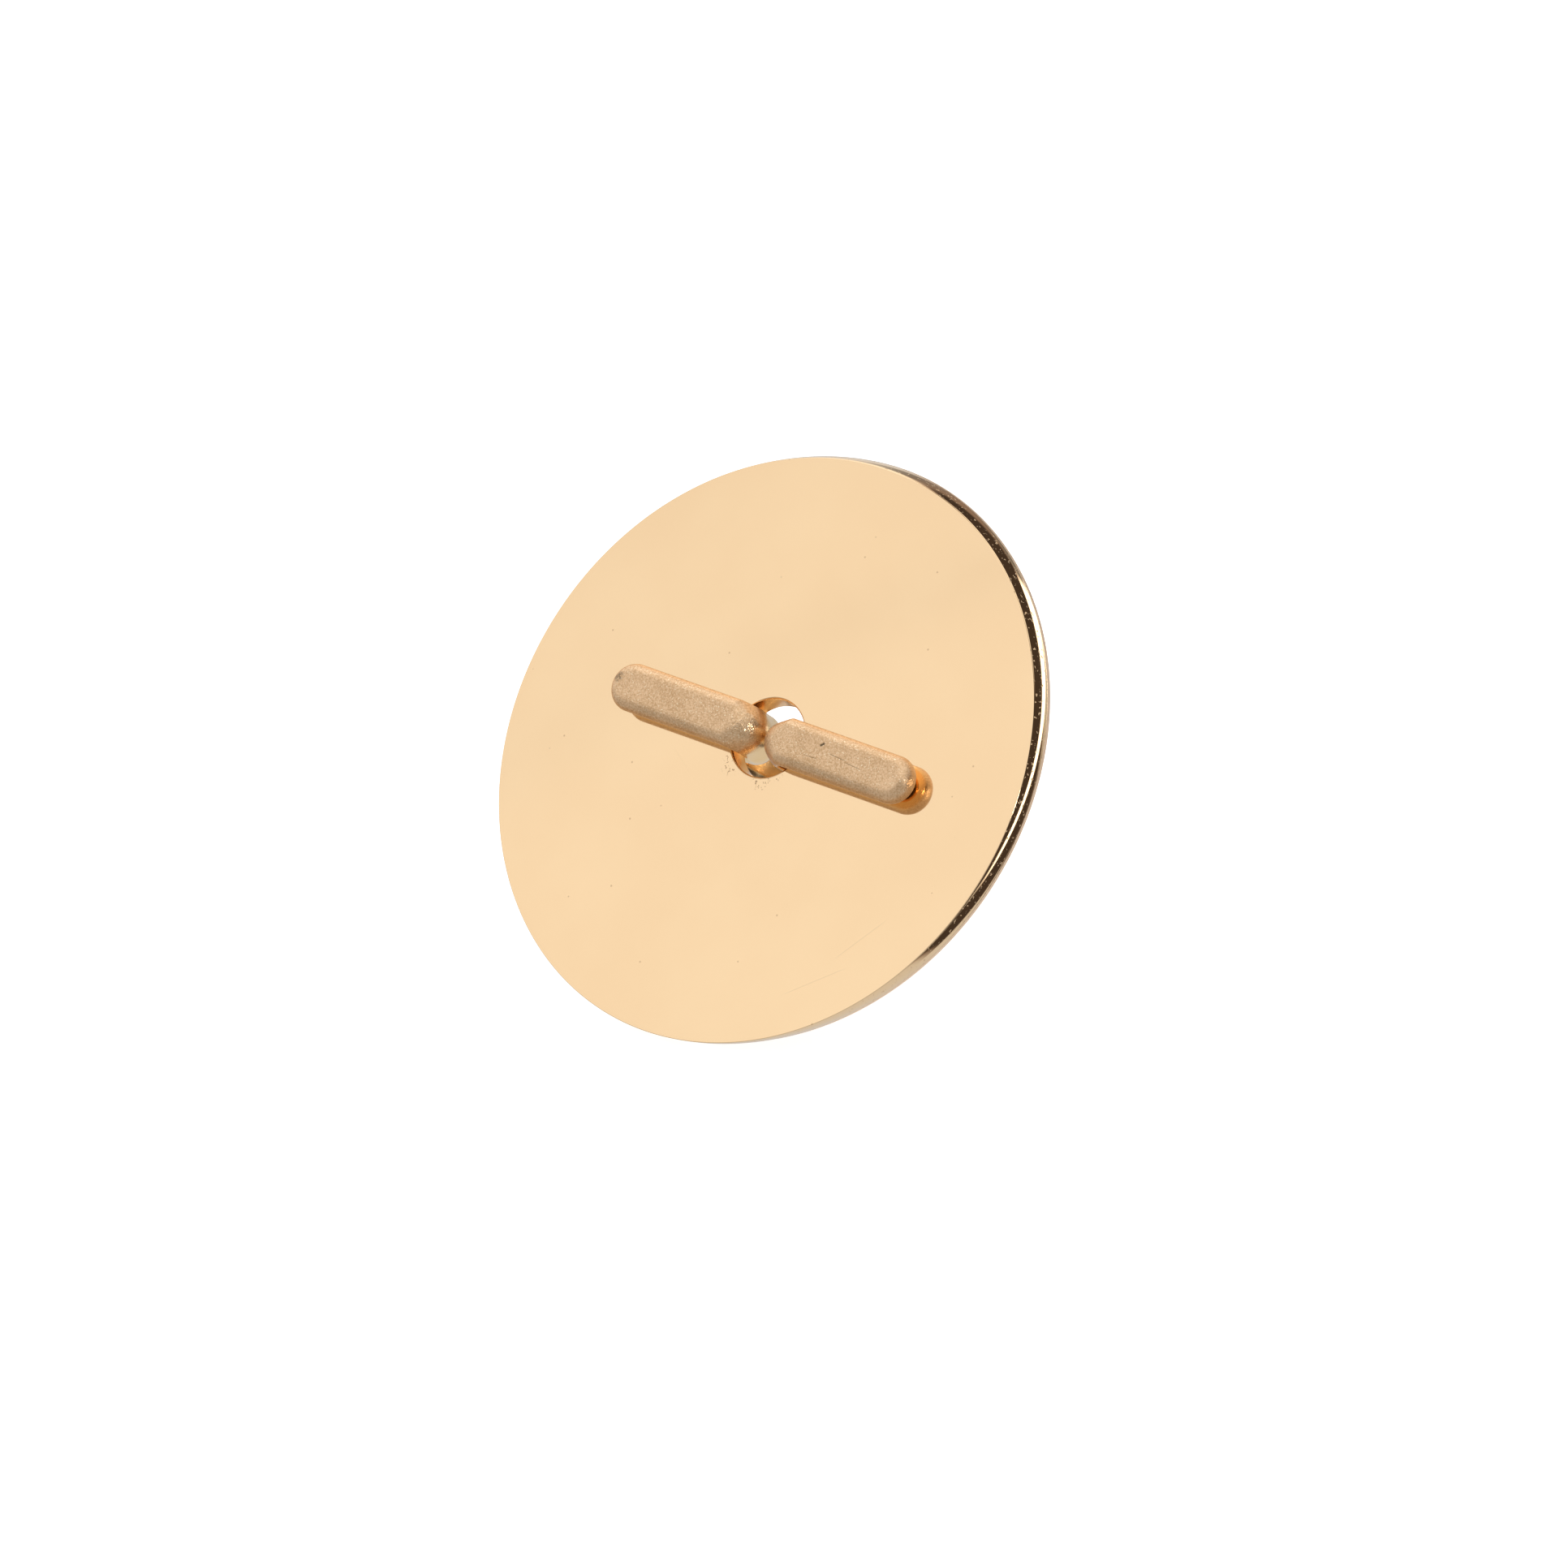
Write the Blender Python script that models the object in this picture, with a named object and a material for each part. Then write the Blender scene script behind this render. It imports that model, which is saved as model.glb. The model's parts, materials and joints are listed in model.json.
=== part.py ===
"""Disc ring on a split-pin band.

A round polished plate is held by one flat strip. The strip goes round the finger behind the plate, its
two ends come up through the plate's centre hole side by side, and each folds outward over the face as a
round-ended bar. The ring lies on its side: the plate's lower rim and the side of the hoop touch the
ground. Sizes are metres, +Z is up, and the origin is on the ground under the middle of the ring.
"""
import math

import bmesh
import bpy
from mathutils import Matrix, Vector

# ---- the plate
DISC_RADIUS = 0.0210          # of the plate at its back edge
DISC_THICKNESS = 0.00185
PLATE_DROP = 0.0002           # how far the back edge's centre sits below the hole's
RIM_LEAN = 0.0006             # how far the front edge sits below the back edge: the side leans
RIM_TAPER = 0.00006           # how much smaller the front edge is than the back edge
RIM_FULLNESS = 0.00008        # how far the middle of the side stands proud of its two edges
RIM_BACK_ROUND = 0.00018      # softened back edge
HOLE_EDGE_ROUND = 0.00016     # softened edges of the hole
DISC_FACETS = 104             # round the plate, a multiple of 4
WALL_STEPS = 4                # down the side wall's profile
EDGE_STEPS = 3                # over each softened edge's profile

# ---- the strip
FINGER_DIAMETER = 0.0174      # inside of the hoop
STRIP_WIDTH = 0.0034
STRIP_THICKNESS = 0.00175
STRIP_EDGE_ROUND = 0.00080    # rounding along the strip's long edges
FOLD_CROWN = 0.0010           # how far the folds' outer side falls away towards the strip's edges
LEFT_REACH = 0.01275          # from the hole's centre to the left bar's tip
RIGHT_REACH = 0.01330         # and to the right bar's tip
FOLD_INNER_RADIUS = 0.00045   # inside of the fold from strand to bar
STRAND_SPREAD = 11.0          # degrees each strand leans outward on its way down
FLARE_INNER_RADIUS = 0.00090  # inside of the flare from strand to hoop
HOOP_FACETS = 84              # round the whole circle of the hoop
TIP_FACETS = 14               # round the half circle of a bar's tip
EDGE_FACETS = 3               # over a quarter round of the strip's edge

# ---- fits
CLEARANCE = 0.0003            # between the strip and whatever it passes or rests on
HOLE_CLEARANCE = 0.00035      # between the strands and the hole, at the plate's back
STRAND_GAP = 0.00025          # between the two folds where they are closest

# ---- what follows from them
STRIP_HALF = STRIP_THICKNESS / 2
STRAND_X = STRAND_GAP / 2 + STRIP_HALF                      # a strand's middle line at its fold
BAR_Z = CLEARANCE + STRIP_HALF                              # a bar's middle line over the face
FOLD_RADIUS = FOLD_INNER_RADIUS + STRIP_HALF
FLARE_RADIUS = FLARE_INNER_RADIUS + STRIP_HALF
HOOP_INNER = FINGER_DIAMETER / 2
HOOP_RADIUS = HOOP_INNER + STRIP_HALF
HOOP_OUTER = HOOP_INNER + STRIP_THICKNESS


def hole_radius():
    """Hole that lets the two leaning strands through: their outer corners are widest at the plate's back."""
    spread = math.radians(STRAND_SPREAD)
    fold_end = (STRAND_X + FOLD_RADIUS * (1 - math.cos(spread)), BAR_Z - FOLD_RADIUS * (1 + math.sin(spread)))
    side = fold_end[0] + (fold_end[1] + DISC_THICKNESS) * math.tan(spread) + STRIP_HALF / math.cos(spread)
    corner = math.hypot(side - STRIP_EDGE_ROUND, STRIP_WIDTH / 2 - STRIP_EDGE_ROUND)
    return corner + STRIP_EDGE_ROUND + HOLE_CLEARANCE


HOLE_RADIUS = hole_radius()


def hoop_centre_z():
    """Height of the hoop's centre that keeps its shoulders clear of the plate's back."""
    shoulder = max(HOLE_RADIUS - CLEARANCE, 0.0)
    return -DISC_THICKNESS - CLEARANCE - math.sqrt(HOOP_OUTER ** 2 - shoulder ** 2)


def arc(centre, radius, start, end, steps, crown=lambda share: 0.0):
    """Points (x, z), directions of travel and crown along an arc, angles in degrees from +x towards +z."""
    turn = 1.0 if end > start else -1.0
    out = []
    for i in range(steps + 1):
        a = math.radians(start + (end - start) * i / steps)
        out.append((centre[0] + radius * math.cos(a), centre[1] + radius * math.sin(a),
                    -turn * math.sin(a), turn * math.cos(a), crown(i / steps)))
    return out


def half_line(reach_x):
    """Middle line of the strip's right half, from the bar's round tip to the far end of the hoop.

    Each station is its place, its direction and how far the outer side is crowned there, from 0 to 1."""
    centre = Vector((0.0, hoop_centre_z()))
    tip_x = reach_x - STRIP_WIDTH / 2                       # centre of the tip's half circle
    fold = Vector((STRAND_X + FOLD_RADIUS, BAR_Z - FOLD_RADIUS))
    line = [(tip_x, BAR_Z, -1.0, 0.0, 0.0), ((tip_x + fold.x) / 2, BAR_Z, -1.0, 0.0, 0.0)]
    line += arc(fold, FOLD_RADIUS, 90.0, 180.0 + STRAND_SPREAD, 10, lambda share: min(1.0, 2.0 * share))
    # the strand runs straight on, until a flare that is tangent to it also meets the hoop's circle
    spread = math.radians(STRAND_SPREAD)
    outward = Vector((math.cos(spread), math.sin(spread)))
    onward = Vector((math.sin(spread), -math.cos(spread)))
    start = fold + (FLARE_RADIUS - FOLD_RADIUS) * outward - centre
    along, reach = start.dot(onward), HOOP_RADIUS + FLARE_RADIUS
    straight = -along - math.sqrt(along ** 2 - start.length_squared + reach ** 2)
    flare = centre + start + straight * onward
    meet = math.degrees(math.atan2(flare.y - centre.y, flare.x))    # where flare and hoop are tangent
    line += arc(flare, FLARE_RADIUS, 180.0 + STRAND_SPREAD, 180.0 + meet, 9, lambda share: 1.0 - share)
    sweep = meet + 90.0
    steps = max(4, round(HOOP_FACETS * sweep / 360.0))
    half_facet = sweep / (2 * steps + 1)                    # the last facet lies level across x = 0
    line += arc(centre, HOOP_RADIUS, meet, -90.0 + half_facet, steps)[1:]
    return line


def strip_section():
    """Half of the strip's cross-section: (distance from the middle, height), top to bottom."""
    flat = STRIP_WIDTH / 2 - STRIP_EDGE_ROUND
    top = [(flat + STRIP_EDGE_ROUND * math.sin(a), STRIP_HALF - STRIP_EDGE_ROUND * (1.0 - math.cos(a)))
           for a in (math.pi / 2 * i / EDGE_FACETS for i in range(EDGE_FACETS + 1))]
    return [(0.0, STRIP_HALF)] + top + [(w, -h) for w, h in reversed(top)] + [(0.0, -STRIP_HALF)]


def build_band():
    """Sweep the section from tip to tip and close each tip with a half turn of the same section."""
    right_half, left_half = half_line(RIGHT_REACH), half_line(LEFT_REACH)
    stations = right_half + [(-x, z, dx, -dz, c) for x, z, dx, dz, c in reversed(left_half)]
    section = strip_section()
    last = len(section) - 1
    mesh = bmesh.new()

    def place(station, along, across, height):
        x, z, dx, dz, crown = station
        # crowned: the outer side falls away towards the edges, and the inner side stays
        fall = crown * FOLD_CROWN * (across / (STRIP_WIDTH / 2)) ** 2
        height -= fall * (height + STRIP_HALF) / STRIP_THICKNESS
        # the strip's outer side is on the right of the way it travels: up on the right bar
        return mesh.verts.new((x + dx * along + dz * height, across, z + dz * along - dx * height))

    def ring(station):
        right = [place(station, 0.0, w, h) for w, h in section]
        left = [place(station, 0.0, -w, h) for w, h in section[1:last]]
        return right + left[::-1]

    rings = [ring(s) for s in stations]
    for a, b in zip(rings, rings[1:]):
        for i in range(len(a)):
            j = (i + 1) % len(a)
            mesh.faces.new((a[i], a[j], b[j], b[i]))

    for end_ring, station, way in ((rings[0], stations[0], -1.0), (rings[-1], stations[-1], 1.0)):
        right = end_ring[:last + 1]
        left = [end_ring[0]] + [end_ring[-i] for i in range(1, last)] + [end_ring[last]]
        profiles = [right]
        for k in range(1, TIP_FACETS):
            a = math.pi * k / TIP_FACETS
            middle = [place(station, way * w * math.sin(a), w * math.cos(a), h) for w, h in section[1:last]]
            profiles.append([end_ring[0]] + middle + [end_ring[last]])
        profiles.append(left)
        for p, q in zip(profiles, profiles[1:]):
            for i in range(last):
                corners = [p[i], p[i + 1], q[i + 1], q[i]]
                unique = [v for n, v in enumerate(corners) if v not in corners[:n]]
                mesh.faces.new(unique)
    bmesh.ops.recalc_face_normals(mesh, faces=mesh.faces)
    return mesh


def disc_profile():
    """Closed profile of the plate: (radius, height, share of the way from back to front edge)."""
    depth = DISC_THICKNESS
    wall_low = -depth + RIM_BACK_ROUND
    rim = []
    for i in range(WALL_STEPS + 1):                         # side wall, slightly full in the middle
        t = i / WALL_STEPS
        radius = DISC_RADIUS - RIM_TAPER * (1.0 - t) + RIM_FULLNESS * 4.0 * t * (1.0 - t)
        rim.append((radius, wall_low * t, 1.0 - t))
    base = rim[-1][0]
    for i in range(1, EDGE_STEPS + 1):                      # softened back edge
        a = math.pi / 2 * i / EDGE_STEPS
        rim.append((base - RIM_BACK_ROUND * (1 - math.cos(a)), wall_low - RIM_BACK_ROUND * math.sin(a), 0.0))
    bore = []
    e = HOLE_EDGE_ROUND
    for i in range(EDGE_STEPS):                             # back edge of the hole, then its front edge
        a = math.pi / 2 * i / (EDGE_STEPS - 1)
        bore.append((HOLE_RADIUS + e * (1 - math.sin(a)), -depth + e * (1 - math.cos(a)), None))
    for i in range(EDGE_STEPS):
        a = math.pi / 2 * i / (EDGE_STEPS - 1)
        bore.append((HOLE_RADIUS + e * (1 - math.cos(a)), -e * (1 - math.sin(a)), None))
    return rim + bore


def build_disc():
    """Turn the profile, with the front edge leaning off the hole's centre and the hole left straight."""
    mesh = bmesh.new()
    loops = []
    for radius, height, front in disc_profile():
        shift = 0.0 if front is None else -PLATE_DROP - RIM_LEAN * front
        loop = []
        for k in range(DISC_FACETS):
            a = 2 * math.pi * (k + 0.5) / DISC_FACETS       # a facet, not a corner, at the lowest point
            loop.append(mesh.verts.new((radius * math.cos(a), radius * math.sin(a) + shift, height)))
        loops.append(loop)
    for a, b in zip(loops, loops[1:] + loops[:1]):
        for i in range(DISC_FACETS):
            j = (i + 1) % DISC_FACETS
            mesh.faces.new((a[i], a[j], b[j], b[i]))
    bmesh.ops.recalc_face_normals(mesh, faces=mesh.faces)
    return mesh


def principled(name, colour, metallic, roughness):
    material = bpy.data.materials.new(name)
    material.use_nodes = True
    shader = material.node_tree.nodes["Principled BSDF"]
    shader.inputs["Base Color"].default_value = (*colour, 1.0)
    shader.inputs["Metallic"].default_value = metallic
    shader.inputs["Roughness"].default_value = roughness
    return material


def add_object(name, mesh, material, parent):
    data = bpy.data.meshes.new(name)
    mesh.to_mesh(data)
    mesh.free()
    data.materials.append(material)
    data.shade_smooth()
    data.set_sharp_from_angle(angle=math.radians(30.0))
    thing = bpy.data.objects.new(name, data)
    bpy.context.scene.collection.objects.link(thing)
    thing.parent = parent
    return thing


def lying_pose(points):
    """Turn about X that lays the rim and the hoop's side on the ground, then centre the ring there."""
    floor_side = [Vector((0.0, p.y, p.z)) for p in points if p.y < 0.0]
    rim = [p for p in floor_side if p.z > -DISC_THICKNESS - CLEARANCE / 2]
    hoop = [p for p in floor_side if p.z < -DISC_THICKNESS - HOOP_OUTER]
    lean = math.radians(45.0)
    for _ in range(12):                                     # the two lowest points settle in a few turns
        down = Vector((0.0, -math.sin(lean), -math.cos(lean)))
        low_rim = max(rim, key=down.dot)
        low_hoop = max(hoop, key=down.dot)
        lean = math.atan2(low_rim.z - low_hoop.z, low_hoop.y - low_rim.y)
    turn = Matrix.Rotation(lean, 4, "X")
    turned = [turn @ p for p in points]
    middle = [(min(p[i] for p in turned) + max(p[i] for p in turned)) / 2 for i in (0, 1)]
    ground = min(p.z for p in turned)
    return Matrix.Translation((-middle[0], -middle[1], -ground)) @ turn


def main():
    for thing in list(bpy.data.objects):
        bpy.data.objects.remove(thing, do_unlink=True)
    disc_mesh = build_disc()
    band_mesh = build_band()
    points = [v.co.copy() for m in (disc_mesh, band_mesh) for v in m.verts]
    pose = bpy.data.objects.new("lying_pose", None)
    bpy.context.scene.collection.objects.link(pose)
    pose.matrix_world = lying_pose(points)
    polished = principled("polished gold", (0.93, 0.67, 0.40), 1.0, 0.06)
    blasted = principled("blasted gold", (0.80, 0.56, 0.36), 1.0, 0.45)
    add_object("disc", disc_mesh, polished, pose)
    add_object("band", band_mesh, blasted, pose)


main()
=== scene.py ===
# %% [markdown]
# # A disc ring on a split-pin band
#
# A mirror-polished plate the size of a large coin is worn on one flat strip of gold. The strip goes round
# the finger behind the plate, its two ends come up through the plate's centre hole side by side, and each
# folds outward over the face as a round-ended bar, the way a split pin is opened. The plate is polished. The
# strip is sand-blasted where it shows, and polished where it touches the finger and the plate. The ring lies
# on its side, resting on the plate's rim and on the hoop.
#
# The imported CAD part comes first. It fixes where everything is, and stays in the file untouched.

# %% Load the frame
import json
import math

import bmesh
import bpy
import numpy as np
from mathutils import Matrix, Vector


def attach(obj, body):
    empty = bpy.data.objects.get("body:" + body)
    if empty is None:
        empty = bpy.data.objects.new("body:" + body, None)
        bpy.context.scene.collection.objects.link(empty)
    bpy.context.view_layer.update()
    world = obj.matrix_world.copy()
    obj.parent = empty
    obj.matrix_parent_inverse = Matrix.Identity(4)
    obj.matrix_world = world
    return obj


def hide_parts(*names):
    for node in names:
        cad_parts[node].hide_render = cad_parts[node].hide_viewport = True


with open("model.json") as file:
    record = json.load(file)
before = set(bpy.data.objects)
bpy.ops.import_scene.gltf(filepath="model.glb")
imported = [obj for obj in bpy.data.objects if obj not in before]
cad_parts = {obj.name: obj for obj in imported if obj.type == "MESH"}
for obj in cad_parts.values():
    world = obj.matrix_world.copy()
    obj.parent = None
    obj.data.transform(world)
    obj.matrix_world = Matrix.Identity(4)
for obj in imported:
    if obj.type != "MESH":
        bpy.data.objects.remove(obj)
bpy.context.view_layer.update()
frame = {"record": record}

# %% [markdown]
# ## The ring's own axes
#
# It is far easier to shape a tilted thing in axes of its own and to lean the result over once. Here x runs
# along the bars, y runs across them, z comes out of the polished face, and the zero point is the middle of
# the hole, level with the face. The record says where the bars' tops are and which way they face, so the
# lean comes from there. Sizes are in millimetres until the last step, because that is how a ring is measured.

# %% Axes of the ring
MM = 0.001
STRIP_WIDTH, STRIP_THICKNESS, CLEARANCE = 3.4, 1.75, 0.3

tops = [m for m in frame["record"]["mounts"] if m["name"].endswith("_bar_top")]
OUT = np.array(tops[0]["axis"]) / np.linalg.norm(tops[0]["axis"])
ALONG = np.array((1.0, 0.0, 0.0))
ACROSS = np.cross(OUT, ALONG)
HOLE = np.mean([m["pos_m"] for m in tops], axis=0) - OUT * (CLEARANCE + STRIP_THICKNESS) * MM


def placed(points):
    """Ring millimetres to scene metres: hole + x times along + y times across + z times out."""
    return HOLE + MM * (np.asarray(points, float) @ np.array((ALONG, ACROSS, OUT)))


def pointing(direction):
    """A direction in the ring's axes, turned into the scene's."""
    return np.asarray(direction, float) @ np.array((ALONG, ACROSS, OUT))


print("lean, degrees:", round(math.degrees(math.atan2(-OUT[1], OUT[2])), 3), "hole at", np.round(HOLE, 5))

# %% [markdown]
# ## The camera
#
# A long lens from far away keeps the round plate a clean ellipse, with no part of it swollen by being nearer.
# The camera looks down on the face from its right. A camera's matrix is just its three axes and its place, so
# it is written down as that, with no constraint to aim it.

# %% Camera
RIGHT, UP, BACK = (pointing(d) for d in ((0.77417, 0.39963, -0.49087), (-0.27685, 0.91116, 0.30518),
                                         (0.56922, -0.10037, 0.81604)))
PLATE_MIDDLE = (0.0, -0.8, 0.0)
AIM_RIGHT, AIM_DOWN = 1.4178, 2.4186
FOCAL_LENGTH, SENSOR_WIDTH = 288.9, 36.0
CAMERA_AWAY = 0.8554
AIM = placed(PLATE_MIDDLE) + MM * (AIM_RIGHT * RIGHT - AIM_DOWN * UP)

lens = bpy.data.cameras.new("camera")
lens.lens = FOCAL_LENGTH
lens.sensor_width = SENSOR_WIDTH
camera = bpy.data.objects.new("camera", lens)
bpy.context.scene.collection.objects.link(camera)
bpy.context.scene.camera = camera


def standing(right, up, back, place):
    """A 4 x 4 matrix whose columns are three axes and a place."""
    columns = np.eye(4)
    columns[:3] = np.column_stack((right, up, back, place))
    return Matrix(columns.tolist())


camera.matrix_world = standing(RIGHT, UP, BACK, AIM + CAMERA_AWAY * BACK)
print("camera at", np.round(AIM + CAMERA_AWAY * BACK, 4))

# %% [markdown]
# ## From a grid of points to a mesh
#
# Both pieces are closed solids with rounds that flow into each other, so they can't be put together from
# ready-made shapes. Each is a surface of two parameters: one runs round a profile, the other along a path or
# round an axis. A grid of points is turned into four-sided faces by pairing each row with the next. Where the
# surface comes to a pole, or a seam closes on itself, several grid points fall on the same spot, so they are
# welded, and the count of open edges is printed. A closed solid has none.


# %% Grid to mesh
WELD = 1e-7


def grid_object(name, grid, flip=False, wrap_rows=False, marks=None):
    """Rows and columns of points to one welded, smooth, closed mesh. Face (i, j) joins row i to row i + 1 and
    column j to column j + 1, and the columns always wrap round."""
    rows, columns = grid.shape[:2]
    index = np.arange(rows * columns).reshape(rows, columns)
    index = np.vstack((index, index[:1])) if wrap_rows else index
    beside = np.roll(index, -1, axis=1)
    quads = np.stack((index[:-1], beside[:-1], beside[1:], index[1:]), axis=-1).reshape(-1, 4)
    mesh = bpy.data.meshes.new(name)
    mesh.from_pydata(placed(grid.reshape(-1, 3)), [], (quads[:, ::-1] if flip else quads).tolist())
    for mark, values in (marks or {}).items():
        layer = mesh.attributes.new(mark, "FLOAT", "POINT")
        layer.data.foreach_set("value", np.ascontiguousarray(values, np.float32).ravel())
    work = bmesh.new()
    work.from_mesh(mesh)
    bmesh.ops.remove_doubles(work, verts=work.verts, dist=WELD)
    open_edges = sum(1 for edge in work.edges if not edge.is_manifold)
    volume = work.calc_volume(signed=True)
    work.to_mesh(mesh)
    work.free()
    mesh.shade_smooth()
    thing = bpy.data.objects.new(name, mesh)
    bpy.context.scene.collection.objects.link(thing)
    print(f"{name}: {len(mesh.polygons)} faces, {open_edges} open edges, {volume * 1e9:.2f} mm3")
    return thing


def rounding(radius, span, steps):
    """Offsets round an edge: radius times the sine and the cosine of evenly spaced angles, in degrees."""
    angle = np.radians(np.linspace(*span, steps))
    return radius * np.sin(angle), radius * np.cos(angle)


print("points closer than", round(WELD * 1e6, 3), "thousandths of a millimetre are welded")

# %% [markdown]
# ## The plate
#
# A plate like this is cut from sheet, and its rim is filed and polished by hand, so the side isn't square.
# The front edge sits a little lower than the back edge, and the middle of the side stands a little proud. The
# back edge was rounded and then left unpolished, so it stays matt. A lathe, or Blender's Spin, would make a
# true round. Here the profile is walked once round its outline, down the leaning side, along the back, up
# through the hole and out over the face, and each point of it is carried round a circle with a centre of its
# own, which is what makes the side lean. Two marks go with the points, matt and bore, for the finish to read.

# %% Plate
DISC_RADIUS, DISC_THICKNESS = 20.965, 1.85
PLATE_DROP, RIM_LEAN, RIM_TAPER, RIM_FULLNESS = 0.2, 0.6, 0.06, 0.08
FRONT_ROUND, BACK_ROUND = 0.05, 0.20
HOLE_RADIUS, HOLE_ROUND = 2.812, 0.16
MATT_FROM, MATT_OVER, BACK_MATT = 0.80, 0.05, 0.2
BORE_INSIDE, BORE_OVER = 0.10, 0.06


def plate_profile():
    """Rows of (radius, height, how far down the side, how matt) once round the plate's section. At a share t
    of the way down, the side's radius is the plate's less the taper times (1 - t), plus the fullness times
    4 t (1 - t). In the third column 2 stands for the hole and its lips."""
    top_radius = DISC_RADIUS - RIM_TAPER
    s, c = rounding(FRONT_ROUND, (0, 78), 7)
    front = np.column_stack((top_radius - FRONT_ROUND + s, c - FRONT_ROUND, 0 * s, 0 * s))
    t = np.linspace(0.04, 1.0, 22)
    low = -DISC_THICKNESS + BACK_ROUND
    side = np.column_stack((DISC_RADIUS - RIM_TAPER * (1 - t) + RIM_FULLNESS * 4 * t * (1 - t), low * t, t,
                            np.clip((t - MATT_FROM) / MATT_OVER, 0, 1)))
    s, c = rounding(BACK_ROUND, (8, 90), 10)
    back = np.column_stack((DISC_RADIUS - BACK_ROUND + c, low - s, 1 + 0 * s, np.linspace(1, BACK_MATT, 10)))
    # the flats need rings in between, where the circles' centres change over from the rim's to the hole's
    inner = np.array(((top_radius - 0.6, -DISC_THICKNESS, 1, BACK_MATT),
                      (12.0, -DISC_THICKNESS, 1, BACK_MATT),
                      (HOLE_RADIUS + HOLE_ROUND + 0.04, -DISC_THICKNESS, 2, BACK_MATT)))
    s, c = rounding(HOLE_ROUND, (0, 90), 7)
    up = np.column_stack((HOLE_RADIUS + HOLE_ROUND - s, c - HOLE_ROUND, 2 + 0 * s, 0 * s))
    down = np.column_stack((HOLE_RADIUS + HOLE_ROUND - c, -DISC_THICKNESS + HOLE_ROUND - s, 2 + 0 * s, 0 * s))
    lip = np.array(((HOLE_RADIUS + HOLE_ROUND + 0.03, 0.0, 2, 0), (8.0, 0.0, 2, 0), (14.0, 0.0, 0, 0),
                    (top_radius - 0.4, 0.0, 0, 0), (top_radius - FRONT_ROUND - 0.02, 0.0, 0, 0)))
    return np.vstack((front, side, back, inner, down[::-1], up[::-1], lip))


def turned_plate(profile, facets=512):
    """Each profile point goes round (radius cos a, radius sin a + its own shift, height). The shift is the
    plate's drop and, towards the face, the side's lean. The hole has none."""
    angle = 2 * np.pi * np.arange(facets) / facets
    radius, height, part = profile[:, 0:1], profile[:, 1:2], profile[:, 2:3]
    shift = np.where(part > 1.5, 0.0, -PLATE_DROP - RIM_LEAN * (1.0 - np.minimum(part, 1.0)))
    return np.stack((radius * np.cos(angle), radius * np.sin(angle) + shift, height + 0 * angle), axis=-1)


profile = plate_profile()
plate_grid = turned_plate(profile)
bore = (profile[:, 2] > 1.5) * np.clip((HOLE_RADIUS + BORE_INSIDE - profile[:, 0]) / BORE_OVER, 0, 1)
plate = grid_object("plate", plate_grid, flip=True, wrap_rows=True,
                    marks={"matt": np.repeat(profile[:, 3], plate_grid.shape[1]),
                           "bore": np.repeat(bore, plate_grid.shape[1])})

# %% [markdown]
# ## The strip
#
# The band is one strip of flat bar with softened edges, bent round a finger-sized mandrel. A curve with a
# bevel could make it, but the round ends and the crown that a fold raises would be hard to get. So it is made
# as it would be drawn: a middle line of straight runs and arcs that meet without a kink, and one section that
# travels along it. At each end the section turns through a quarter circle about the last point of the line,
# which gives the round ends. Three more columns travel along: how crowned the strip is at each point, and how
# polished its upper and under sides are. The wearer's finger and the plate keep the sides they touch bright.

# %% Middle line of the strip
FINGER, LEFT_REACH, RIGHT_REACH = 17.4, 12.75, 13.3
FOLD_INNER, FLARE_INNER, SPREAD, STRAND_GAP = 0.45, 0.90, math.radians(11.0), 0.25
HALF = STRIP_THICKNESS / 2
HOOP_INNER = FINGER / 2
# a share of polish from start to end of an arc: below 0 it is plain blasted metal, so the change comes late
# or early on the way
ALL_ALONG, LATE, EARLY = (1, 1), (-1.2, 1), (1, -4)


def arc(centre, radius, start, end, steps, crown, upper, under):
    """Points and directions on an arc: centre + radius (cos a, sin a), direction a quarter turn on. The crown
    and the upper and under sides' polish each run evenly from their first value to their second."""
    a = np.linspace(start, end, steps)
    way = math.copysign(1.0, end - start)
    return np.column_stack((centre[0] + radius * np.cos(a), centre[1] + radius * np.sin(a), -way * np.sin(a),
                            way * np.cos(a), *(np.linspace(*c, steps) for c in (crown, upper, under))))


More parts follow.
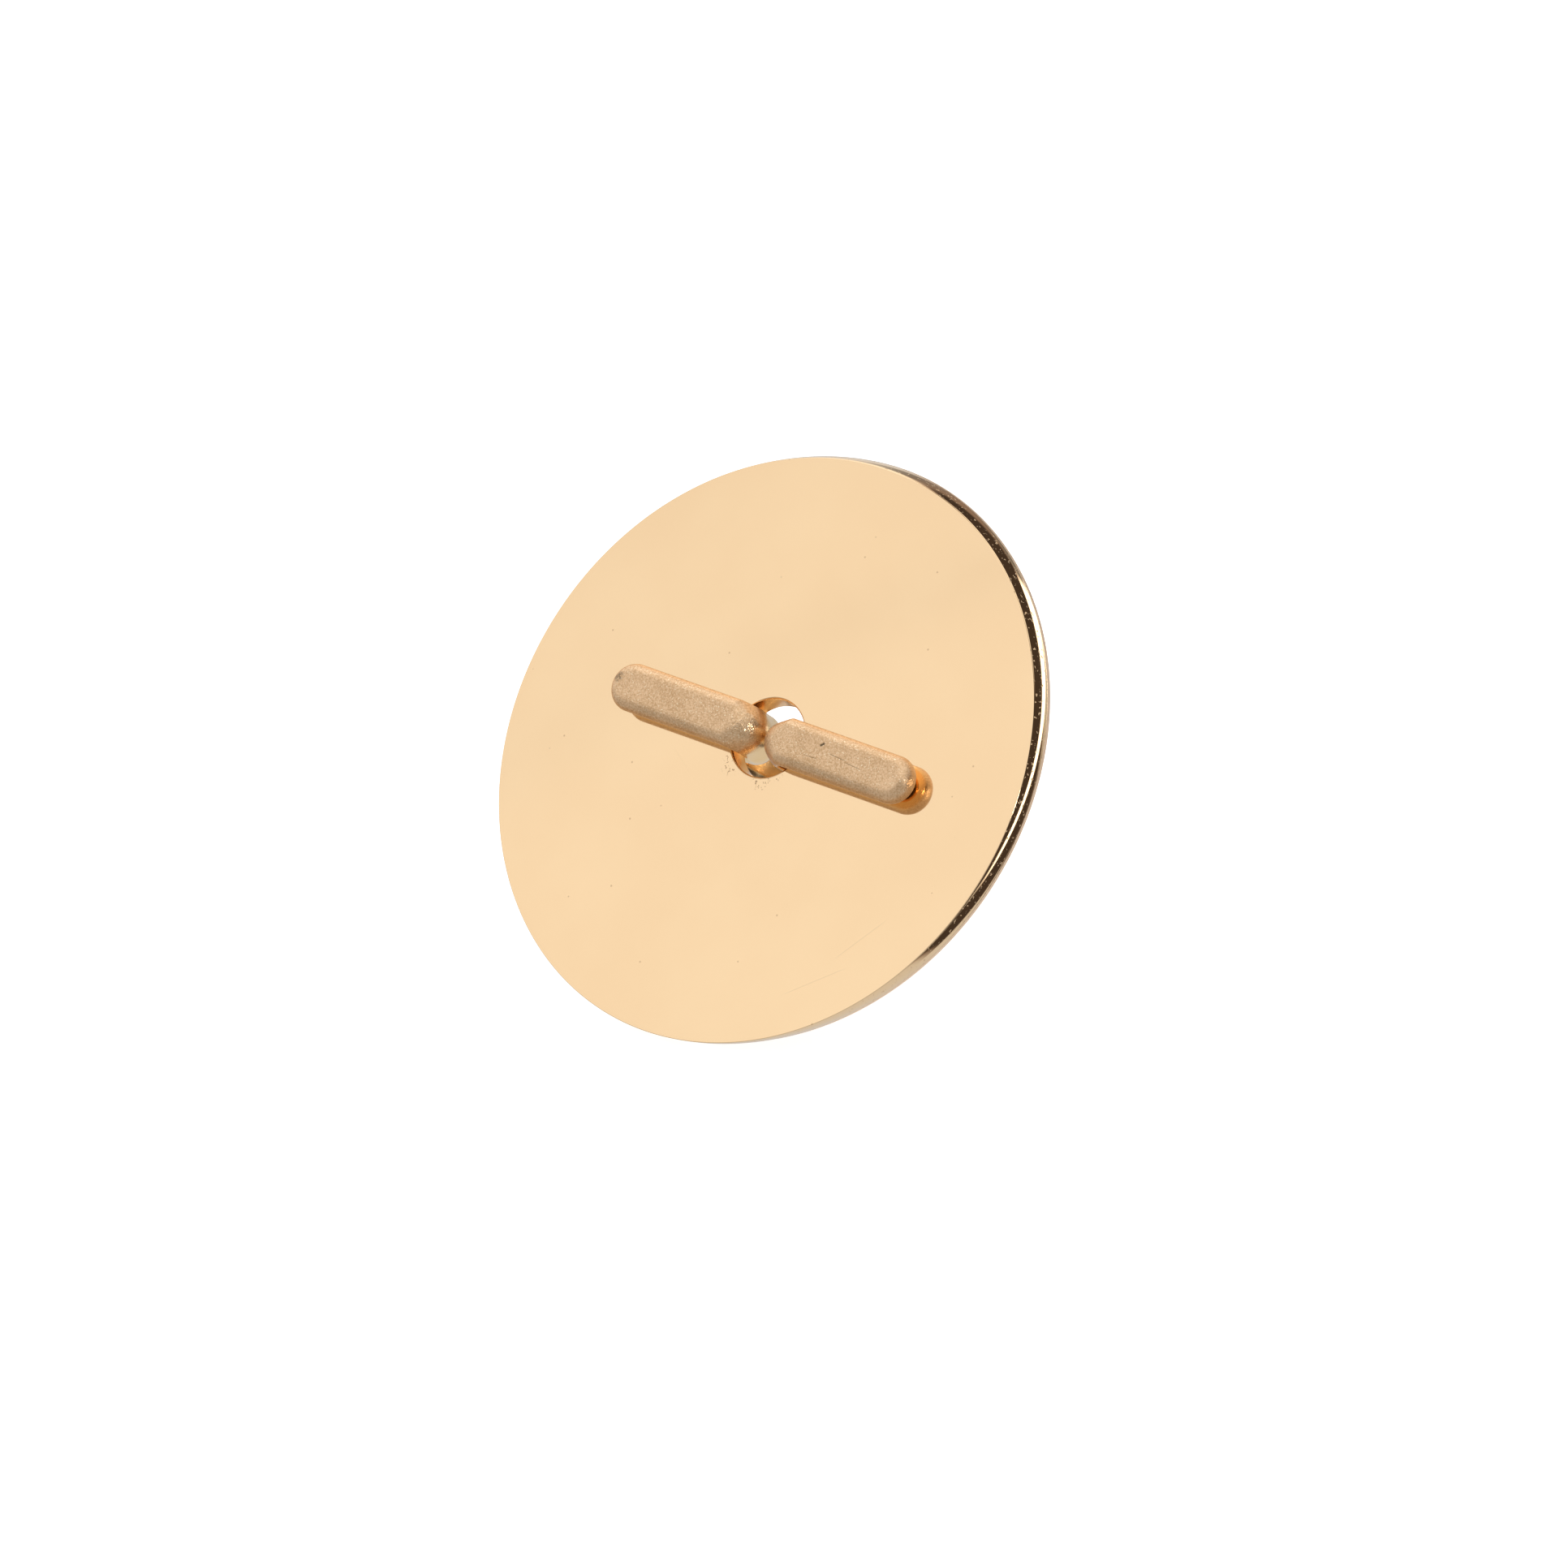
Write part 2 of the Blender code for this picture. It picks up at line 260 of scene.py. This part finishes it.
def half_line(reach):
    """Bar, fold, strand, flare and half of the hoop, as rows of (x, z, direction x, direction z, crown, upper
    side's polish, under side's polish). The strand leans by SPREAD, and it is as long as it must be for the
    flare's arc to touch the hoop's: their centres are then the sum of the two radii apart."""
    outer = HOOP_INNER + STRIP_THICKNESS
    shoulder = math.sqrt(outer ** 2 - (HOLE_RADIUS - CLEARANCE) ** 2)
    centre = np.array((0.0, -DISC_THICKNESS - CLEARANCE - shoulder))
    fold_radius, flare_radius, hoop = FOLD_INNER + HALF, FLARE_INNER + HALF, HOOP_INNER + HALF
    fold = np.array((STRAND_GAP / 2 + HALF + fold_radius, CLEARANCE + HALF - fold_radius))
    x = np.linspace(reach - STRIP_WIDTH / 2, fold[0], 90, endpoint=False)
    bar = np.column_stack((x, 0 * x + CLEARANCE + HALF, 0 * x - 1.0, 0 * x, 0 * x, 0 * x, 0 * x + 1))
    bend = arc(fold, fold_radius, math.pi / 2, math.pi + SPREAD, 48, (0, 2), LATE, ALL_ALONG)
    bend[:, 4] = 1 - (1 - np.minimum(bend[:, 4], 1)) ** 2
    aside = np.array((math.cos(SPREAD), math.sin(SPREAD)))
    onward = np.array((math.sin(SPREAD), -math.cos(SPREAD)))
    start = fold + (flare_radius - fold_radius) * aside - centre
    straight = -start @ onward - math.sqrt((start @ onward) ** 2 - start @ start + (hoop + flare_radius) ** 2)
    turn = centre + start + straight * onward
    meet = math.atan2(turn[1] - centre[1], turn[0])
    flare = arc(turn, flare_radius, math.pi + SPREAD, math.pi + meet, 24, (1, 0), ALL_ALONG, ALL_ALONG)
    around = arc(centre, hoop, meet, -math.pi / 2, 110, (0, 0), ALL_ALONG, EARLY)[1:]
    return np.vstack((bar, bend, flare, around))


right_line, left_line = half_line(RIGHT_REACH), half_line(LEFT_REACH)
line = np.vstack((right_line, (left_line * (-1, 1, 1, -1, 1, 1, 1))[-2::-1]))
steps = np.diff(line[:, :2], axis=0)
print("strip's middle line, mm:", round(float(np.hypot(steps[:, 0], steps[:, 1]).sum()), 2))


# %% Section and sweep
EDGE_ROUND = 0.87
FOLD_CROWN = 1.05


def half_section():
    """Half outline of the strip from top middle to bottom middle: flat, quarter round, side, quarter round,
    flat. The lower half is the upper half with its height turned over."""
    flat = STRIP_WIDTH / 2 - EDGE_ROUND
    s, c = rounding(EDGE_ROUND, (0, 90), 8)
    inner = np.column_stack((np.linspace(0, flat, 8)[:-1], np.full(7, HALF)))
    edge = np.column_stack((flat + s, HALF - EDGE_ROUND + c))
    top = np.vstack((inner, edge))
    bottom = (top * (1, -1))[::-1]
    return np.vstack((top, bottom))


def swept_strip(line, half):
    """The section's two halves at each station, fanned out by a turn at the tips: along = w sin turn,
    across = w cos turn, and height square to the line. Where it is crowned, the outer side falls away as
    the square of the distance from the middle. Also gives how polished each point is, for the finish."""
    fan = np.radians(np.linspace(90, 0, 22, endpoint=False))
    station = np.vstack((np.repeat(line[:1], len(fan), 0), line, np.repeat(line[-1:], len(fan), 0)))
    turn = np.concatenate((-fan, np.zeros(len(line)), fan[::-1]))[:, None]
    w = np.concatenate((half[:, 0], -half[-2:0:-1, 0]))[None, :]
    h = np.concatenate((half[:, 1], half[-2:0:-1, 1]))[None, :]
    along, across = np.abs(w) * np.sin(turn), w * np.cos(turn)
    x, z, dx, dz = (station[:, i:i + 1] for i in range(4))
    crown, upper, under = (np.clip(station[:, i:i + 1], 0, None) for i in range(4, 7))
    # how far a point belongs to a side: 0 at 0.35 of the half thickness, 1 from 0.85 of it
    upper_side = np.clip(h / HALF * 2 - 0.7, 0, 1)
    under_side = np.clip(-h / HALF * 2 - 0.7, 0, 1)
    polish = np.maximum(np.minimum(upper, under), np.maximum(upper * upper_side, under * under_side))
    h = h - crown * FOLD_CROWN * (w / (STRIP_WIDTH / 2)) ** 2 * (h + HALF) / STRIP_THICKNESS
    return np.stack((x + dx * along + dz * h, across, z + dz * along - dx * h), axis=-1), polish


half = half_section()
strip_grid, polish = swept_strip(line, half)
strip = grid_object("strip", strip_grid, marks={"polish": polish})

# %% [markdown]
# ## Sums with sockets
#
# A procedural finish is arithmetic on patterns. Written out as nodes it is long, so one small class wraps a
# socket and lets Python's own signs add the Math nodes: `1 - mask * 0.5` makes two of them. Every other node
# comes from one method.


# %% Sums with sockets
class Wire:
    """A socket in a node tree that can be added, multiplied and passed to other nodes."""

    def __init__(self, tree, socket=None):
        self.tree, self.socket = tree, socket

    def node(self, kind, settings=None, values=None, out=0):
        """Any node: its settings are set first, then its sockets get values or links."""
        new = self.tree.nodes.new(kind)
        for name, value in (settings or {}).items():
            setattr(new, name, value)
        for name, value in (values or {}).items():
            if isinstance(value, Wire):
                self.tree.links.new(value.socket, new.inputs[name])
            else:
                new.inputs[name].default_value = value
        return Wire(self.tree, new.outputs[out])

    def math(self, operation, *values):
        """A Math node on numbers or wires."""
        return self.node("ShaderNodeMath", {"operation": operation}, dict(enumerate(values)))

    def ramp(self, low, high):
        """0 below low, 1 above high, smooth between."""
        return self.node("ShaderNodeMapRange", {"interpolation_type": "SMOOTHSTEP"},
                         {"Value": self, "From Min": low, "From Max": high})

    def tint(self, first, second):
        """A colour between two, by this wire."""
        return self.node("ShaderNodeMix", {"data_type": "RGBA"}, {0: self, 6: first, 7: second}, out=2)

    def __add__(self, other):
        return self.math("ADD", self, other)

    def __radd__(self, other):
        return self.math("ADD", other, self)

    def __sub__(self, other):
        return self.math("SUBTRACT", self, other)

    def __rsub__(self, other):
        return self.math("SUBTRACT", other, self)

    def __mul__(self, other):
        return self.math("MULTIPLY", self, other)

    def __rmul__(self, other):
        return self.math("MULTIPLY", other, self)


def new_finish(name, constants):
    """A material with one Principled shader whose plain numbers are set on its own sockets."""
    material = bpy.data.materials.new(name)
    material.use_nodes = True
    shader = material.node_tree.nodes["Principled BSDF"]
    for socket, value in constants.items():
        shader.inputs[socket].default_value = value
    return material, shader, Wire(material.node_tree)


def feed(shader, **wires):
    """Links wires to the shader's sockets: Base_Color means Base Color."""
    for name, wire in wires.items():
        wire.tree.links.new(wire.socket, shader.inputs[name.replace("_", " ")])


def dot(vector, direction):
    """How far a vector goes in a direction: the dot product of the two."""
    return vector.node("ShaderNodeVectorMath", {"operation": "DOT_PRODUCT"}, {0: vector, 1: direction}, out=1)


def ring_axes(wire):
    """Object coordinates, and from them the ring's own x, y and z in millimetres, each a dot product with an
    axis."""
    place = wire.node("ShaderNodeTexCoord", out=3)
    from_hole = wire.node("ShaderNodeVectorMath", {"operation": "SUBTRACT"}, {0: place, 1: HOLE.tolist()})
    return place, [dot(from_hole, axis.tolist()) * 1000 for axis in (ALONG, ACROSS, OUT)]


def noise(place, scale, detail, roughness=0.5):
    """Smooth random lumps, scale of them to the metre, with finer layers laid over them."""
    return place.node("ShaderNodeTexNoise", None, {"Vector": place, "Scale": scale, "Detail": detail,
                                                   "Roughness": roughness})


def cells(place, scale):
    """The distance to the nearest of many scattered points, scale of them to the metre."""
    return place.node("ShaderNodeTexVoronoi", None, {"Vector": place, "Scale": scale})


def spot(wire, axes, middle, radius, soft=0.5):
    """A round patch: 1 within radius (1 - soft) of its middle and 0 beyond radius, in ring millimetres."""
    away = [(axis - m) * (axis - m) for axis, m in zip(axes, middle)]
    return wire.math("SQRT", sum(away[1:], away[0])).ramp(radius, radius * (1 - soft))


def scratch(wire, axes, start, end, width):
    """A hair scratch on a flat side from start to end (x, y), fading at both ends and at its width."""
    run = np.subtract(end, start)
    length = float(np.hypot(*run))
    cx, cy = (run / length).tolist()
    x, y = axes[0] - start[0], axes[1] - start[1]
    along, aside = x * cx + y * cy, wire.math("ABSOLUTE", y * cx - x * cy)
    return aside.ramp(width, width * 0.3) * along.ramp(0.0, 0.25 * length) * along.ramp(length, 0.7 * length)


print("helpers ready: new_finish, feed, ring_axes, noise, cells, spot, scratch")

# %% [markdown]
# ## Polished gold
#
# The plate has been buffed to a mirror, but a mirror that is worn: it has faint clouds of polish, a few pin
# pricks and hair scratches, and crumbs of wear where the strip's edges touch it by the hole. The metal's
# colour is its reflection colour, so it is pale and warm, and what looks like shading on the face is mostly
# what the face reflects. A picture could be laid over the face for this, but patterns worked out from places
# stay sharp at any distance. The wall of the hole is rougher, and its colour is painted shade: darker and
# warmer, standing in for the shade and the gold light bounced round inside the bore. The back edge was never
# polished, so it goes rough and partly loses its metal look.

# %% Polished gold
polished, shader, wire = new_finish("polished gold", {})
place, axes = ring_axes(wire)
unbuffed = wire.node("ShaderNodeAttribute", {"attribute_name": "matt"}, out=2)
# the bore mark is the wall of the hole: it is made rougher there, and its colour there is painted shade
wall = wire.node("ShaderNodeAttribute", {"attribute_name": "bore"}, out=2)

# what the mirror carries: clouds of polish, rare pin pricks, crumbs of wear by the hole, hair scratches
clouds = noise(place, 90.0, 3.0, 0.55)
pricks = cells(place, 900.0).ramp(0.085, 0.045)
rare = noise(place, 330.0, 1.0).ramp(0.60, 0.64)
grain = noise(place, 9000.0, 2.0)
crumbs = noise(place, 6500.0, 3.0).ramp(0.60, 0.64)
worn = (spot(wire, axes, (-1.9, -2.5, 0), 1.0)
        + spot(wire, axes, (0.9, -2.9, 0), 0.9)
        + spot(wire, axes, (2.0, -2.2, 0), 0.5))
# the polished part of the side is nicked with fine flecks
nicked = unbuffed.ramp(0.02, 0.01) * axes[2].ramp(-0.03, -0.08) * (1 - wall)
flecks = noise(place, 4200.0, 3.0).ramp(0.64, 0.69)
hairs = (scratch(wire, axes, (15.2, -8.6), (11.9, -13.2), 0.04)
         + scratch(wire, axes, (13.9, -12.6), (9.0, -16.6), 0.035)
         + scratch(wire, axes, (-7.5, -2.4), (-4.2, -4.4), 0.03))
marks = wire.math("MINIMUM", pricks * rare * 0.35 + crumbs * worn * 0.7, 1.0)

# %% Polished gold, put together
POLISHED_DARKER, POLISHED_LIGHTER = (0.925, 0.665, 0.395, 1), (0.945, 0.69, 0.415, 1)
# the hole wall's colour is painted shade: darker and warmer than the plate's gold, for the shade and bounced
# light in the bore
MARK, HOLE_WALL_PAINTED_SHADE, UNBUFFED = (0.22, 0.13, 0.06, 1), (0.90, 0.56, 0.27, 1), (0.72, 0.53, 0.37, 1)
MIRROR_ROUGHNESS, UNBUFFED_ROUGHNESS = 0.045, 0.6

gold = clouds.ramp(0.3, 0.7).tint(POLISHED_DARKER, POLISHED_LIGHTER)
gold = (marks * 0.85).tint(gold, MARK)
# painted shade: the wall of the hole is tinted darker and warmer
gold = wall.tint(gold, HOLE_WALL_PAINTED_SHADE)
gold = unbuffed.tint(gold, UNBUFFED)
metal = 1 - unbuffed.ramp(0.6, 0.95) * 0.75
dull = MIRROR_ROUGHNESS + clouds * 0.03 + marks * 0.3 + wall * 0.16 + hairs * 0.10 + nicked * flecks * 0.5
rough = dull + unbuffed.ramp(0, 0.8) * (UNBUFFED_ROUGHNESS - dull)
height = grain * unbuffed.ramp(0, 0.8) - marks - hairs * 0.25 - nicked * flecks
bump = wire.node("ShaderNodeBump", None, {"Strength": 0.35, "Distance": 0.00004, "Height": height})
feed(shader, Base_Color=gold, Roughness=rough, Metallic=metal, Normal=bump)
plate.data.materials.append(polished)
print("polished gold:", len(polished.node_tree.nodes), "nodes")

# %% [markdown]
# ## Blasted gold
#
# Blasting with fine sand leaves thousands of tiny dimples. They scatter the light, so the strip looks darker
# and softer than the mirror beside it, with a sparkle where a dimple happens to face a lamp. Dimples cut into
# the mesh would take millions of faces, so a very fine noise drives a bump instead, a slower one drifts the
# shade and the roughness, and a few small places are brighter and smoother for the sparkle. Where the mark
# called polish is 1, the same metal is smooth and brighter. A second, coarser bump is the hammered patch on
# the left fold and the small knock on the right bar's tip.

# %% Blasted gold
blasted, shader, wire = new_finish("blasted gold", {"Metallic": 1.0})
place, axes = ring_axes(wire)
worn_in = wire.node("ShaderNodeAttribute", {"attribute_name": "polish"}, out=2)
sand = noise(place, 7600.0, 3.0, 0.6)
dimples = cells(place, 9500.0)
drift = noise(place, 420.0, 2.0)
glint = noise(place, 11000.0, 1.0).ramp(0.62, 0.72)
lumps = noise(place, 2400.0, 2.0)
# what use has left on the bars, each at its place: the hammered fold, a knock, a smudge, a nick, scratches
bent = spot(wire, axes, (-1.25, 0.1, 1.55), 1.5, 0.7)
bright_spot = spot(wire, axes, (-0.60, 0.1, 1.20), 0.75, 0.8)
knock = spot(wire, axes, (12.85, 0.1, 2.0), 0.75, 0.9)
smudge = spot(wire, axes, (-12.1, 0.3, 2.0), 0.55, 0.6) * (sand * 0.6 + lumps * 0.4).ramp(0.46, 0.54)
nick = scratch(wire, axes, (5.60, 0.36), (5.98, 0.72), 0.11) * axes[2].ramp(1.9, 2.0)
lines = (scratch(wire, axes, (6.4, 0.10), (8.2, -0.02), 0.05)
         + scratch(wire, axes, (7.9, -0.12), (9.6, -0.22), 0.04)
         + scratch(wire, axes, (4.6, -0.55), (6.0, -0.50), 0.035)) * axes[2].ramp(1.9, 2.0)

# %% Blasted gold, put together
BLASTED_DARKER, BLASTED_LIGHTER = (0.58, 0.365, 0.190, 1), (0.83, 0.57, 0.345, 1)
SPARKLE, WORN_BRIGHT, DIRT = (1.0, 0.84, 0.60, 1), (0.95, 0.68, 0.36, 1), (0.16, 0.11, 0.06, 1)
BLASTED_ROUGHNESS, WORN_ROUGHNESS = 0.34, 0.2

shade = (sand * 0.75 + drift * 0.25).ramp(0.34, 0.66)
gold = shade.tint(BLASTED_DARKER, BLASTED_LIGHTER)
gold = (glint * 0.75).tint(gold, SPARKLE)
gold = worn_in.tint(gold, WORN_BRIGHT)
dirt = wire.math("MINIMUM", smudge * 0.75 + nick + lines * 0.45, 1.0)
gold = dirt.tint(gold, DIRT)
dull = BLASTED_ROUGHNESS + drift * 0.14 - glint * 0.16 - bent * 0.10 - bright_spot * 0.10
rough = dull + worn_in * (WORN_ROUGHNESS - dull)
pitted = (sand + dimples * 0.5) * (1 - worn_in) - lines - nick * 2
fine = wire.node("ShaderNodeBump", None, {"Strength": 0.6, "Distance": 0.00003, "Height": pitted})
hammered = lumps * bent + knock * 0.7
bump = wire.node("ShaderNodeBump", None, {"Strength": 0.9, "Distance": 0.00013, "Normal": fine,
                                          "Height": hammered})
feed(shader, Base_Color=gold, Roughness=rough, Normal=bump)
strip.data.materials.append(blasted)
print("blasted gold:", len(blasted.node_tree.nodes), "nodes")

# %% [markdown]
# ## Standing in for the CAD solids
#
# The two new meshes are the CAD's two solids with finer rounds, so each replaces its solid and rides on the
# ring's one body. The CAD solids could have been kept and given these materials, but their few flat facets
# would show in a mirror finish.

# %% Ride and replace
for piece, node, slot in ((plate, "disc", "polished_gold"), (strip, "band", "blasted_gold")):
    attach(piece, "root")
    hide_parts(node)
    print(piece.name, "replaces", node, "and has the finish slot", slot)

# %% [markdown]
# ## Lamps
#
# Polished metal shows what is round it, so it is lit by placing bright and dark things where it looks. Two
# small square lamps light the metal only. One stands far to the right and puts small sparks on what curves
# that way. The other, high on the left, brightens the bars' upper edges. Both are area lamps, because a point
# lamp shows in a mirror as a hard dot.


# %% Lamps
LAMP_AWAY = 0.6


def square_lamp(name, direction, side, strength, shade):
    """A square lamp of a given brightness that faces the hole from a direction, seen by metal alone. Its
    power is strength times pi times its area."""
    data = bpy.data.lights.new(name, "AREA")
    data.shape, data.size = "SQUARE", side
    data.energy = strength * math.pi * side * side
    data.color = shade
    lamp = bpy.data.objects.new(name, data)
    bpy.context.scene.collection.objects.link(lamp)
    d = Vector(direction).normalized()
    lamp.matrix_world = (Matrix.Translation(Vector(placed((0, 0, 0))) + d * LAMP_AWAY)
                         @ d.to_track_quat("Z", "Y").to_matrix().to_4x4())
    lamp.visible_camera = False
    lamp.visible_diffuse = False
    print(name, "lamp:", round(data.energy, 3), "W")


square_lamp("spark", (0.87, -0.115, 0.454), 0.07, 34.0, (1.0, 1.0, 1.0))
square_lamp("key", (-0.569, 0.288, 0.770), 0.16, 1.0, (0.88, 1.0, 1.2))

# %% [markdown]
# ## The large soft panel
#
# The face looks up to its left, into one large soft panel, and that panel is what makes it pale and even. It
# is a real sheet of glowing cloth and not an area lamp, because cloth may be uneven: it is a little dimmer
# towards its top and has one soft slanting fold, and the face shows both. It hangs square to the camera's
# line after one bounce off the face: each of the camera's axes is mirrored in the plane of the face, by
# taking away twice its part along the face's own direction.

# %% The large soft panel
CLOTH_SIZE, CLOTH_AWAY = 0.5, 0.6
CREASE_WAY, CREASE_AT = (0.358, 0.934), 13.2
DIMMER_UP, BRIGHTER_RIGHT, UNEVEN = 0.0015, 0.0009, 0.03

bpy.ops.mesh.primitive_plane_add(size=CLOTH_SIZE)
cloth = bpy.context.object
cloth.name = "soft_panel"
mirrored = [d - 2 * (d @ OUT) * OUT for d in (RIGHT, UP, -BACK)]
cloth.matrix_world = standing(*mirrored, AIM + CLOTH_AWAY * mirrored[2])
cloth.visible_camera = False
cloth.visible_diffuse = False
cloth.visible_shadow = False

lit, shader, wire = new_finish("soft panel cloth", {"Base Color": (0, 0, 0, 1), "Emission Strength": 1.0})
on_cloth = wire.node("ShaderNodeTexCoord", out=3)
u, v = (wire.node("ShaderNodeSeparateXYZ", None, {0: on_cloth}, out=i) * 1000 for i in range(2))
crease = wire.math("ABSOLUTE", v * CREASE_WAY[1] - u * CREASE_WAY[0] - CREASE_AT).ramp(5.0, 0.5)
uneven = noise(on_cloth, 45.0, 2.0)
glow = 1.0 - v * DIMMER_UP + u * BRIGHTER_RIGHT + uneven * UNEVEN - crease * (0.05 + u.ramp(-10, 25) * 0.035)
feed(shader, Emission_Color=glow.tint((0, 0, 0, 1), (1.0, 1.0, 1.01, 1)))
cloth.data.materials.append(lit)
print("soft panel:", CLOTH_SIZE, "m,", len(lit.node_tree.nodes), "nodes")

# %% [markdown]
# ## Floor
#
# The floor is a plain white sheet that glows faintly, so that it stays white right up to the ring. It is kept
# out of the metal's reflections, because the rim and the strip's undersides would otherwise show white where
# the dark surround belongs.

# %% Floor
bpy.ops.mesh.primitive_plane_add(size=6.0)
floor = bpy.context.object
floor.name = "floor"
floor.visible_glossy = False
sheet = new_finish("white sheet", {"Base Color": (0.7, 0.7, 0.7, 1), "Roughness": 0.9,
                                   "Emission Color": (1, 1, 1, 1), "Emission Strength": 0.8})[0]
floor.data.materials.append(sheet)
print("floor:", tuple(round(side, 3) for side in floor.dimensions), "m")

# %% [markdown]
# ## Surround
#
# What the side of the plate shows is mostly the surround: a dark cave with one narrow bright strip in it, and
# a grey patch to the left of that. Boards and lamps could be stood there, but the metal can't tell a board
# from a sky that looks like one, so the surround is the world's own shader. Every direction gets two compass
# angles, how far right of straight back and how high, and soft steps on those angles mark out each
# patch. The bright strip is bowed, because the round rim sees a straight lamp as a curve.

# %% Surround: directions
STRIP_HIGH, STRIP_EAST, STRIP_BOW = 9.0, 6, 0.0145

world = bpy.data.worlds.new("studio")
bpy.context.scene.world = world
world.use_nodes = True
sky = Wire(world.node_tree)
way = sky.node("ShaderNodeTexCoord", out=0)


def toward(direction):
    """How far each direction of the surround points the given way: 1 along it, 0 square to it."""
    return dot(way, Vector(direction).normalized())


x, y, z = (sky.node("ShaderNodeSeparateXYZ", None, {0: way}, out=i) for i in range(3))
east = sky.math("ARCTAN2", x, y) * math.degrees(1)
high = sky.math("ARCSINE", z) * math.degrees(1)
# how far above the bowed line each direction is, in degrees
bow = high - STRIP_HIGH + STRIP_BOW * ((east - STRIP_EAST) * (east - STRIP_EAST))
print("bright strip:", STRIP_HIGH, "degrees high at", STRIP_EAST, "degrees right of straight back")

# %% Surround: patches
DIMMEST, LEFT_ABOVE, FROM_BELOW = 0.55, 0.65, 0.15
CAVE_LEVEL, GREY_LEVEL, STRIP_LEVEL = 0.06, 0.22, 2.7
CAVE_COLOUR = (1.0, 0.75, 0.62, 1)

strip_light = sky.math("ABSOLUTE", bow).ramp(5.4, 4.4) * east.ramp(-3, 3) * east.ramp(61, 55)
above = bow.ramp(2, 4) * high.ramp(44, 32) * east.ramp(-36, -24)
below = bow.ramp(-2, -4) * east.ramp(29, 33) * high.ramp(-63, -56)
cave = (above + below) * east.ramp(92, 78)
grey = east.ramp(4, -2) * high.ramp(13, 8) * east.ramp(-44, -30) * high.ramp(-6, -1)
bright = (DIMMEST + LEFT_ABOVE * toward((-0.5, 0.25, 0.83)).ramp(0.0, 1.0)
          + FROM_BELOW * toward((0, 0, -1)).ramp(0.3, 1.0))
level = bright * (1 - cave) * (1 - grey) + cave * CAVE_LEVEL + grey * GREY_LEVEL
level = level * (1 - strip_light) + strip_light * STRIP_LEVEL
colour = (cave * (1 - strip_light)).tint((1, 1, 1, 1), CAVE_COLOUR)
feed(world.node_tree.nodes["Background"], Strength=level, Color=colour)
print("surround:", len(world.node_tree.nodes), "nodes")

bpy.context.scene.view_settings.view_transform = "Standard"
